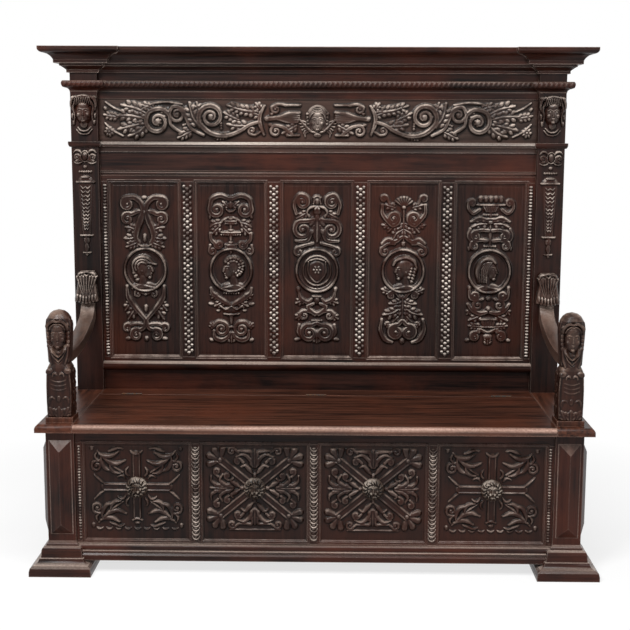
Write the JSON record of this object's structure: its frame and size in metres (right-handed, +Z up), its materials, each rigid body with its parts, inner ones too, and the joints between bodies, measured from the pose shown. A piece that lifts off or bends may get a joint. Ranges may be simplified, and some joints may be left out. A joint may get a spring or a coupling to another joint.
{
  "type": "carved box settle bench",
  "caption": "Carved oak hall bench: hinged seat lid over a panelled storage box, open arms on term figures, tall carved panel back with pilasters and cornice.",
  "frame": {"origin": "on the floor under the middle of the bounding box", "axes": "+X to the right seen from the front, +Y from the front to the wall side, +Z up"},
  "size_m": [1.807, 0.589, 1.617],
  "materials": {
    "carved_oak": "dark stained oak, waxed, highlights worn on the carving",
    "seat_oak": "dark red-brown oak, polished by use, edges worn lighter",
    "inner_oak": "plain unpolished oak boards",
    "hinge_iron": "worn dark iron"
  },
  "bodies": {
    "frame": {"arm_leaves": "carved_oak", "arm_left": "seat_oak", "arm_right": "seat_oak", "back_bead_strips": "carved_oak", "back_bottom_rail": "carved_oak", "back_edge_stiles": "carved_oak", "back_muntins": "carved_oak", "back_panel_1": "carved_oak", "back_panel_2": "carved_oak", "back_panel_3": "carved_oak", "back_panel_4": "carved_oak", "back_panel_5": "carved_oak", "back_panel_mouldings": "carved_oak", "back_post_left": "carved_oak", "back_post_right": "carved_oak", "back_thumb_moulding": "carved_oak", "back_top_rail": "carved_oak", "box_back_board": "inner_oak", "box_bead_strips": "carved_oak", "box_bottom_rail": "carved_oak", "box_edge_stiles": "carved_oak", "box_floor": "inner_oak", "box_muntins": "carved_oak", "box_panel_1": "carved_oak", "box_panel_2": "carved_oak", "box_panel_3": "carved_oak", "box_panel_4": "carved_oak", "box_panel_mouldings": "carved_oak", "box_top_rail": "carved_oak", "cornice_centre": "carved_oak", "cornice_ends": "carved_oak", "frieze_cherub": "carved_oak", "frieze_mouldings": "carved_oak", "frieze_panel": "carved_oak", "front_feet": "carved_oak", "front_post_left": "carved_oak", "front_post_right": "carved_oak", "header_rail": "carved_oak", "herm_left": "carved_oak", "herm_plinths": "seat_oak", "herm_right": "carved_oak", "hinge_fixed_leaves": "hinge_iron", "hinge_pins": "hinge_iron", "lion_bosses": "carved_oak", "pilaster_masks": "carved_oak", "pilaster_pendants": "carved_oak", "plinth_mouldings": "carved_oak", "post_jewels": "carved_oak", "rear_feet": "carved_oak", "rope_mouldings": "carved_oak", "seat_bearer": "inner_oak", "seat_cap_left": "seat_oak", "seat_cap_right": "seat_oak", "seat_strip": "seat_oak", "side_panels": "carved_oak", "side_rails": "carved_oak", "top_board": "inner_oak"},
    "lid": {"lid": "seat_oak", "lid_battens": "inner_oak", "hinge_lid_leaves": "hinge_iron"}
  },
  "joints": [
    {"name": "lid_hinge", "type": "hinge", "parent": "frame", "child": "lid", "pos_m": [0, 0.1675, 0.472], "axis": [-1, 0, 0], "range_deg": [0, 97]}
  ]
}
